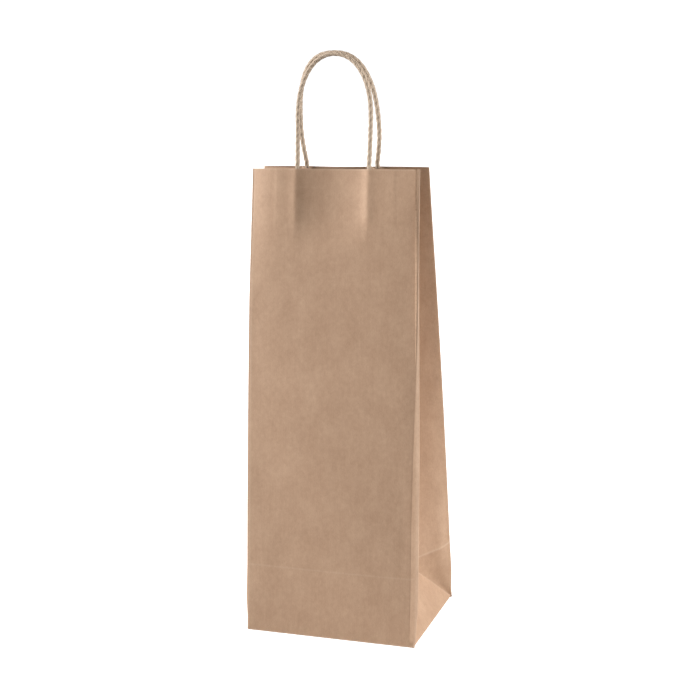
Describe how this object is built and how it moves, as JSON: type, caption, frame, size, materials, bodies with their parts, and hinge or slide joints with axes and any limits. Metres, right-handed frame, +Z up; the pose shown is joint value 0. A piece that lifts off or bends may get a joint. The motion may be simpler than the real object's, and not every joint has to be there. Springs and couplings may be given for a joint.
{
  "type": "wine gift bag",
  "caption": "Tall gusseted kraft paper carrier for one bottle, with a folded block bottom, a mouth that opens and closes, and twisted paper cord handles on glued patches.",
  "frame": {"origin": "centre of the base rectangle, on its underside", "axes": "+Z up, +X along the width with the front panel facing -Y"},
  "size_m": [0.1402, 0.1038, 0.4595],
  "materials": {
    "kraft_paper": "matte unbleached brown kraft paper with fine mottling",
    "patch_paper": "matte unbleached brown kraft paper",
    "twisted_cord": "matte twisted kraft paper cord"
  },
  "bodies": {
    "base": {"base_flap_front": "kraft_paper", "base_flap_back": "kraft_paper", "base_flap_left": "kraft_paper", "base_flap_right": "kraft_paper"},
    "front_panel": {"front_panel": "kraft_paper", "front_patch_outer": "patch_paper", "front_patch_inner": "patch_paper", "front_cord_end_left": "twisted_cord", "front_cord_end_right": "twisted_cord"},
    "back_panel": {"back_panel": "kraft_paper", "seam_flap": "kraft_paper", "back_patch_outer": "patch_paper", "back_patch_inner": "patch_paper", "back_cord_end_left": "twisted_cord", "back_cord_end_right": "twisted_cord"},
    "front_handle": {"front_handle_loop": "twisted_cord"},
    "back_handle": {"back_handle_loop": "twisted_cord"},
    "foot_left": {"foot_left": "kraft_paper"},
    "foot_right": {"foot_right": "kraft_paper"},
    "corner_front_left": {"corner_front_left": "kraft_paper"},
    "corner_front_right": {"corner_front_right": "kraft_paper"},
    "corner_back_left": {"corner_back_left": "kraft_paper"},
    "corner_back_right": {"corner_back_right": "kraft_paper"},
    "gusset_front_left": {"gusset_front_left": "kraft_paper"},
    "gusset_front_right": {"gusset_front_right": "kraft_paper"},
    "gusset_back_left": {"gusset_back_left": "kraft_paper"},
    "gusset_back_right": {"gusset_back_right": "kraft_paper"}
  },
  "joints": [
    {"name": "mouth", "type": "hinge", "parent": "base", "child": "front_panel", "pos_m": [0, -0.052, 0], "axis": [1, 0, 0], "range_deg": [-0.34, 5.04], "stiffness_Nm_per_rad": 0.02},
    {"name": "back_panel_fold", "type": "hinge", "parent": "base", "child": "back_panel", "pos_m": [0, 0.052, 0], "axis": [-1, 0, 0], "range_deg": [-0.39, 5.09]},
    {"name": "foot_left_fold", "type": "hinge", "parent": "base", "child": "foot_left", "pos_m": [-0.07, 0, 0], "axis": [0, -1, 0], "range_deg": [-1.07, 14.99]},
    {"name": "foot_right_fold", "type": "hinge", "parent": "base", "child": "foot_right", "pos_m": [0.07, 0, 0], "axis": [0, 1, 0], "range_deg": [-1.07, 14.99]},
    {"name": "corner_front_left_fold", "type": "hinge", "parent": "front_panel", "child": "corner_front_left", "pos_m": [-0.07, -0.052, 0], "axis": [0, 0.1068, 0.9943], "range_deg": [-1.07, 14.99]},
    {"name": "corner_front_right_fold", "type": "hinge", "parent": "front_panel", "child": "corner_front_right", "pos_m": [0.07, -0.052, 0], "axis": [0, -0.1068, -0.9943], "range_deg": [-1.07, 14.99]},
    {"name": "corner_back_left_fold", "type": "hinge", "parent": "back_panel", "child": "corner_back_left", "pos_m": [-0.07, 0.052, 0], "axis": [0, 0.1068, -0.9943], "range_deg": [-1.07, 14.99]},
    {"name": "corner_back_right_fold", "type": "hinge", "parent": "back_panel", "child": "corner_back_right", "pos_m": [0.07, 0.052, 0], "axis": [0, -0.1068, 0.9943], "range_deg": [-1.07, 14.99]},
    {"name": "gusset_front_left_fold", "type": "hinge", "parent": "front_panel", "child": "gusset_front_left", "pos_m": [-0.07, -0.052, 0], "axis": [0, 0.1068, 0.9943], "range_deg": [-3.34, 48.37]},
    {"name": "gusset_front_right_fold", "type": "hinge", "parent": "front_panel", "child": "gusset_front_right", "pos_m": [0.07, -0.052, 0], "axis": [0, -0.1068, -0.9943], "range_deg": [-3.34, 48.37]},
    {"name": "gusset_back_left_fold", "type": "hinge", "parent": "back_panel", "child": "gusset_back_left", "pos_m": [-0.07, 0.052, 0], "axis": [0, 0.1068, -0.9943], "range_deg": [-3.34, 48.37]},
    {"name": "gusset_back_right_fold", "type": "hinge", "parent": "back_panel", "child": "gusset_back_right", "pos_m": [0.07, 0.052, 0], "axis": [0, -0.1068, 0.9943], "range_deg": [-3.34, 48.37]},
    {"name": "front_handle_swing", "type": "hinge", "parent": "front_panel", "child": "front_handle", "pos_m": [0, -0.00954, 0.37159], "axis": [1, 0, 0], "range_deg": [0, 115], "stiffness_Nm_per_rad": 0.008},
    {"name": "back_handle_swing", "type": "hinge", "parent": "back_panel", "child": "back_handle", "pos_m": [0, 0.00954, 0.37159], "axis": [-1, 0, 0], "range_deg": [0, 115], "stiffness_Nm_per_rad": 0.008}
  ],
  "couplings": [
    {"joint": "back_panel_fold", "follows": "mouth", "ratio": 1},
    {"joint": "foot_left_fold", "follows": "mouth", "ratio": 2.9625},
    {"joint": "foot_right_fold", "follows": "mouth", "ratio": 2.9625},
    {"joint": "corner_front_left_fold", "follows": "mouth", "ratio": 2.9625},
    {"joint": "corner_front_right_fold", "follows": "mouth", "ratio": 2.9625},
    {"joint": "corner_back_left_fold", "follows": "mouth", "ratio": 2.9625},
    {"joint": "corner_back_right_fold", "follows": "mouth", "ratio": 2.9625},
    {"joint": "gusset_front_left_fold", "follows": "mouth", "ratio": 9.5793},
    {"joint": "gusset_front_right_fold", "follows": "mouth", "ratio": 9.5793},
    {"joint": "gusset_back_left_fold", "follows": "mouth", "ratio": 9.5793},
    {"joint": "gusset_back_right_fold", "follows": "mouth", "ratio": 9.5793}
  ]
}
